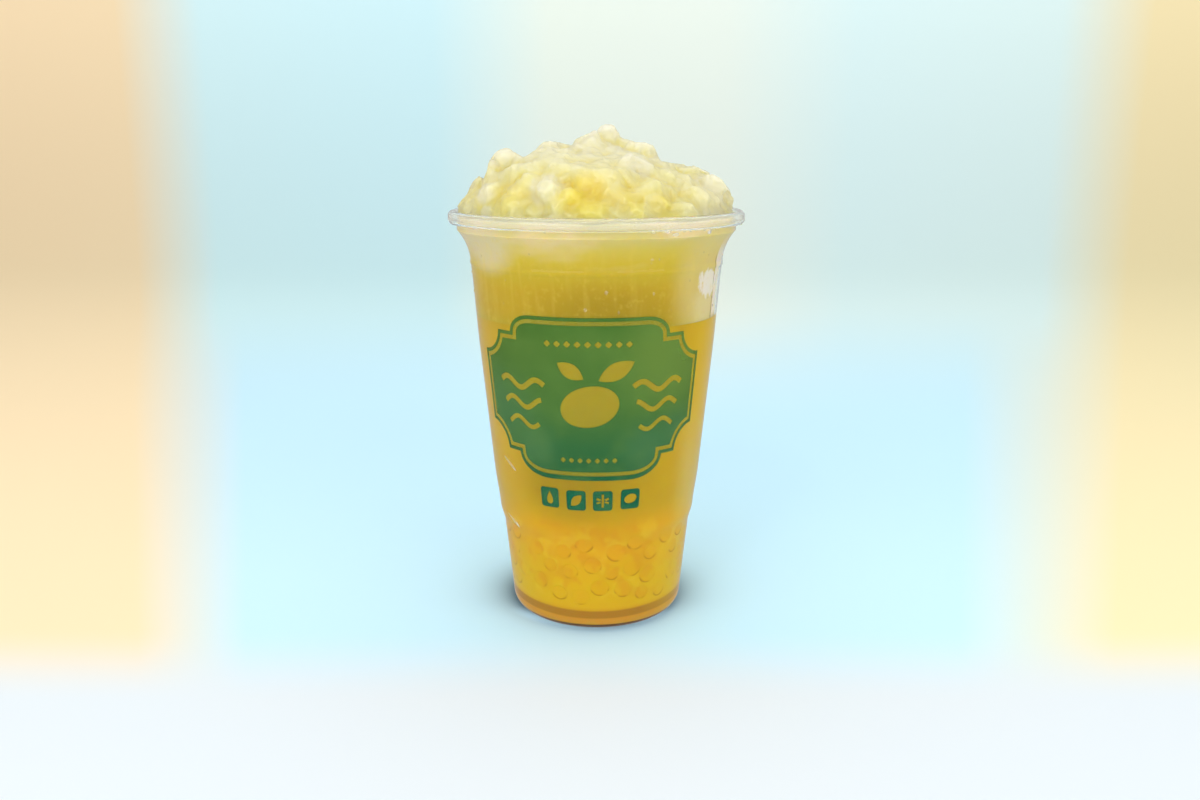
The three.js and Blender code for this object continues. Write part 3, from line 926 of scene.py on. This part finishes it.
def trim_to_skyline(shape):
    """Lowers what stands over the skyline as the camera sees it, and lowers it more at the back."""
    outline_x, outline_z = zip(*SKYLINE)
    for vert in shape.verts:
        if vert.co.z < HEAP_FOOT:
            continue
        share = EYE.y / (EYE.y - vert.co.y)
        seen = EYE + (vert.co - EYE) * share
        over = seen.z - np.interp(seen.x, outline_x, outline_z)
        if over > 0:
            depth = 0.7 + 1.8 * between(vert.co.y, 2.0, 14.0)
            vert.co.z -= over / share + depth * (0.5 + 0.5 * noise.noise(vert.co * 0.45))
    smooth_out(shape, 1)


def roughen(shape):
    """Gives the skin its fine waves, and keeps it inside the rim."""
    shape.normal_update()
    mouth = NECK_RADIUS - WALL
    for vert in shape.verts:
        if vert.co.z >= SKIN_FOOT:
            vert.co += vert.normal * (0.25 * noise.noise(vert.co * 0.5))
            keep_within(vert, mouth - 0.1 + 1.4 * between(vert.co.z, 139.0, 141.0))


def hollowness(shape, rounds=60, deepest=1.6):
    """How deep each vertex lies under a smoothed copy of the skin, from 0 to 1."""
    shape.normal_update()
    places = np.array([vert.co[:] for vert in shape.verts])
    normals = np.array([vert.normal[:] for vert in shape.verts])
    ends = np.array([[v.index for v in edge.verts] for edge in shape.edges])
    ties = np.bincount(ends.ravel(), minlength=len(places))[:, None]
    smooth = places.copy()
    for _ in range(rounds):
        total = np.zeros_like(smooth)
        np.add.at(total, ends[:, 0], smooth[ends[:, 1]])
        np.add.at(total, ends[:, 1], smooth[ends[:, 0]])
        smooth = total / ties
    return np.clip(((smooth - places) * normals).sum(1) / deepest, 0, 1)


def add_heap(ice):
    """The heap of crushed ice, with its hollows and its chips' tones kept for the finish."""
    shape = lumpy_heap()
    tones = break_faces(shape)
    trim_to_skyline(shape)
    roughen(shape)
    hollows = hollowness(shape)
    piece = make_piece("ice_heap", shape, ice, sharp=0)
    for name, values in (("hollow", hollows), ("chip", tones)):
        layer = piece.data.attributes.new(name, "FLOAT", "POINT")
        layer.data.foreach_set("value", values.astype(np.float32))


# Drops, and streaks of painted highlight

def drop_at(shape, azimuth, z, radius, long=1.0, slant=0.0, thick=0.5):
    """A drop on the wall or under the lip, drawn out along a line that leans from the upright by a slant."""
    angle = math.radians(azimuth - 90)
    out = Vector((math.cos(angle), math.sin(angle), 0))
    side = Vector((-math.sin(angle), math.cos(angle), 0))
    wall = LIP_EDGE if z > NECK_BASE + 1 else wall_radius(z)
    turned = math.radians(slant)
    up = Vector((0, 0, 1)) * math.cos(turned) + side * math.sin(turned)
    across = side * math.cos(turned) - Vector((0, 0, 1)) * math.sin(turned)
    for vert in bmesh.ops.create_icosphere(shape, subdivisions=2, radius=1)["verts"]:
        x, y, h = vert.co
        vert.co = out * (wall - 0.1 * radius + h * radius * thick)
        vert.co += across * x * radius + up * y * radius * long + Vector((0, 0, z))


def add_drops(water):
    """Drops of water under the rim and on the wall."""
    rng = random.Random(21)
    shape = bmesh.new()
    under_lip = CUP_HEIGHT - LIP_DROP + 0.1
    for azimuth in (21, 25.5, 27, 33, 36, 44, 47, -52, -18, 78, 118, 151, 204, 238):
        azimuth += rng.uniform(-0.6, 0.6)
        drop_at(shape, azimuth, under_lip, rng.uniform(0.45, 0.75), 0.9, 0, 0.9)
    for azimuth, z in ((4.3, 116.3), (-4.5, 111.0)):
        drop_at(shape, azimuth, z, 0.6, 1.2)
    for _ in range(46):
        azimuth, z = rng.uniform(0, 360), rng.uniform(108, 130)
        drop_at(shape, azimuth, z, rng.uniform(0.2, 0.42), rng.uniform(1.0, 1.5))
    bmesh.ops.recalc_face_normals(shape, faces=shape.faces)
    make_piece("water_drops", shape, water, sharp=0)


def add_highlight_streaks(water):
    """Two slanting streaks low on the left, and two short ones on the right of the lip, whitish to paint
    highlights.
    """
    shape = bmesh.new()
    for azimuth, z, long, slant in (
        (-52.0, 57.4, 7.2, -61), (-56.2, 36.3, 7.8, -68), (31, 133.3, 2.2, 84), (46, 133.6, 1.8, 84),
    ):
        drop_at(shape, azimuth, z, 0.55, long, slant, 0.45)
    bmesh.ops.recalc_face_normals(shape, faces=shape.faces)
    make_piece("painted_highlight_streaks", shape, water, sharp=0)


# The print

def plaque_loop(inset):
    """The plaque's outline with stepped corners, drawn in by an inset, and a little shorter on its right."""
    i = inset
    side, top, base = PLAQUE_SIDE - i, PLAQUE_TOP - i, PLAQUE_BASE + i
    base_inset = i + 0.42 * min(1, i)
    # A notch starts and ends no nearer to the sides than where the inset outline meets it
    starts = 180 + max(6, math.degrees(math.asin(i / (TOP_NOTCH + i))))
    ends = 180 + min(82, math.degrees(math.acos(i / (NOTCH_WIDTH + i))))
    right = arc(18.2, PLAQUE_TOP, 7.5 - i, 90, 6, 8, 5.7 - i)
    right += [(SHELF_START - i, top), (SHELF_END - i, top)]
    right += arc(PLAQUE_SIDE, PLAQUE_TOP, NOTCH_WIDTH + i, starts, ends, 8, TOP_NOTCH + i)
    right += [(side, top - TOP_NOTCH), (side, base + BASE_NOTCH)]
    right += arc(PLAQUE_SIDE, PLAQUE_BASE, NOTCH_WIDTH + i, 360 - ends, 360 - starts, 8, BASE_NOTCH + i)
    right += [(SHELF_END - i, base), (SHELF_START - i, base)]
    right += arc(14.0, PLAQUE_BASE, 11.7 - i, -6, -90, 10, 7.5 - base_inset)
    left = [(-x, z) for x, z in reversed(right)]
    return [(x - PLAQUE_TRIM * max(0, x - TRIM_START), z) for x, z in right] + left


def print_flat(name, loops, ink, lift=INK_LIFT, depth=INK_DEPTH):
    """Lays flat loops, each a hole in the one round it, on the cup's wall as a film of ink."""
    drawing = bpy.data.curves.new(name, "CURVE")
    drawing.dimensions = "2D"
    drawing.fill_mode = "BOTH"
    for loop in loops:
        spline = drawing.splines.new("POLY")
        spline.points.add(len(loop) - 1)
        for point, (x, z) in zip(spline.points, loop):
            point.co = (x, z, 0, 1)
        spline.use_cyclic_u = True
    shape = final_bmesh(name, drawing)
    bmesh.ops.remove_doubles(shape, verts=shape.verts, dist=1e-4)
    xs = [v.co.x for v in shape.verts]
    zs = [v.co.y for v in shape.verts]
    for x in np.arange(min(xs) + 0.6, max(xs), 1.2):
        cut_across(shape, (x, 0, 0), (1, 0, 0))
    for z in np.arange(min(zs) + 1.5, max(zs), 3):
        cut_across(shape, (0, z, 0), (0, 1, 0))
    bmesh.ops.dissolve_degenerate(shape, dist=2e-3, edges=shape.edges)
    bmesh.ops.triangulate(shape, faces=shape.faces)
    raised = only_verts(bmesh.ops.extrude_face_region(shape, geom=shape.faces[:])["geom"])
    bmesh.ops.translate(shape, vec=(0, 0, depth), verts=raised)
    bmesh.ops.recalc_face_normals(shape, faces=shape.faces)
    for vert in shape.verts:
        angle = vert.co.x / PRINT_RADIUS + math.radians(PRINT_TURN)
        radius = wall_radius(vert.co.y) + lift + vert.co.z
        vert.co = Vector((radius * math.sin(angle), -radius * math.cos(angle), vert.co.y))
    make_piece(name, shape, ink, sharp=30)


def shifted(loop, x, z, turn=0.0):
    """A loop turned by an angle in degrees and moved."""
    c, s = math.cos(math.radians(turn)), math.sin(math.radians(turn))
    return [(x + px * c - pz * s, z + px * s + pz * c) for px, pz in loop]


def round_square(x, z, half, corner):
    """A square round (x, z) with rounded corners."""
    loop = []
    for cx, cz, start in ((1, 1, 0), (-1, 1, 90), (-1, -1, 180), (1, -1, 270)):
        loop += arc(x + cx * (half - corner), z + cz * (half - corner), corner, start, start + 90, 4)
    return loop


def leaf(length, width, steps=9):
    """A pointed leaf that lies along X from the origin."""
    half = [(length * i / steps, width * math.sin(math.pi * i / steps) ** 0.85) for i in range(steps + 1)]
    return half + [(x, -w) for x, w in reversed(half[1:-1])]


def mango(size, steps=40):
    """A leaning fruit, fuller at one shoulder."""
    loop = []
    for a in [2 * math.pi * i / steps for i in range(steps)]:
        swell = 1 + 0.10 * math.cos(a - 0.8) + 0.06 * math.cos(2 * a + 0.6)
        loop.append((size * swell * math.cos(a), 0.78 * size * swell * math.sin(a)))
    return shifted(loop, 0, 0, 18)


def drop(size, steps=24):
    """A drop with its point up."""
    angles = [2 * math.pi * i / steps for i in range(steps)]
    return [(size * 0.72 * math.sin(a) * math.sin(a / 2) ** 1.3, size * math.cos(a)) for a in angles]


def stroke(points, width):
    """A line of a given width through some points, with blunt ends."""
    left, right = [], []
    for i, (x, z) in enumerate(points):
        (x0, z0), (x1, z1) = points[max(0, i - 1)], points[min(len(points) - 1, i + 1)]
        long = math.hypot(x1 - x0, z1 - z0)
        nx, nz = -(z1 - z0) / long * width / 2, (x1 - x0) / long * width / 2
        left.append((x + nx, z + nz))
        right.append((x - nx, z - nz))
    return left + right[::-1]


def twig():
    """An upright stem with two pairs of short shoots."""
    loops = [shifted(stroke([(-2.3, 0), (2.3, 0)], 0.85), 0, 0, 90)]
    return loops + [shifted(stroke([(0.8, 0), (2.3, 0)], 0.8), 0, 0, turn) for turn in (20, 160, 200, -20)]


def wave(side, row):
    """One of three waves on a side of the plaque, each lower one shorter and thinner."""
    points = []
    for t in [i / 28 for i in range(29)]:
        rise = 1.5 * math.sin(2 * math.pi * (1.5 * t + 0.15 * row))
        points.append((side * (14.2 + 17.5 * t), 86.5 - 6.4 * row + rise))
    return stroke(points[2 * row:29 - 2 * row], 1.8 - 0.15 * row)


def add_plaque(ink, wash):
    """A border line and a field, with a fruit, leaves, waves and dots left open in it, over a paler wash of
    painted shade.
    """
    # The wash is painted shade: it darkens the drink seen through the gaps of the print
    print_flat("plaque_shading_wash", [plaque_loop(0.4)], wash, 0.006, 0.015)
    print_flat("plaque_line", [plaque_loop(0), plaque_loop(1.15)], ink)
    motifs = [shifted(mango(9.0), 0, 79.6)]
    motifs += [shifted(leaf(12.5, 2.8), 3.2, 88.8, 28), shifted(leaf(9.5, 2.4), -1.4, 89.2, 148)]
    motifs += [wave(side, row) for side in (-1, 1) for row in range(3)]
    motifs += [shifted(round_square(0, 0, 0.8, 0.25), 3.1 * i, 100.2, 45) for i in range(-4, 5)]
    motifs += [shifted(round_square(0, 0, 0.7, 0.25), 2.9 * i, 62.4, 45) for i in range(-3, 4)]
    print_flat("plaque_field", [plaque_loop(2.45)] + motifs, ink)


def add_marks(ink):
    """Four small squares below the plaque, with a drop, a leaf, a twig and a fruit left open in them."""
    signs = [[drop(2.3)], [shifted(leaf(5.4, 1.5), -1.9, -1.9, 45)], twig(), [mango(2.2, 24)]]
    for number, ((x, z), sign) in enumerate(zip(MARK_CENTRES, signs), 1):
        loops = [round_square(x, z, 3.45, 1.0)] + [shifted(loop, x, z) for loop in sign]
        print_flat(f"mark_{number}", loops, ink)


add_camera()
add_room()
add_lights()
add_backdrop()
add_cup(clear_plastic())
add_tea(cloudy_tea())
add_pearls(fruit_pearls())
add_slush(wet_slush())
add_heap(heaped_ice())
add_drops(clear_water("water", 0.9, 0.02))
add_highlight_streaks(clear_water("highlight_streak_water", 0.84, 0.36))
print_ink = green_ink()
add_plaque(print_ink, pale_shading_wash())
add_marks(print_ink)
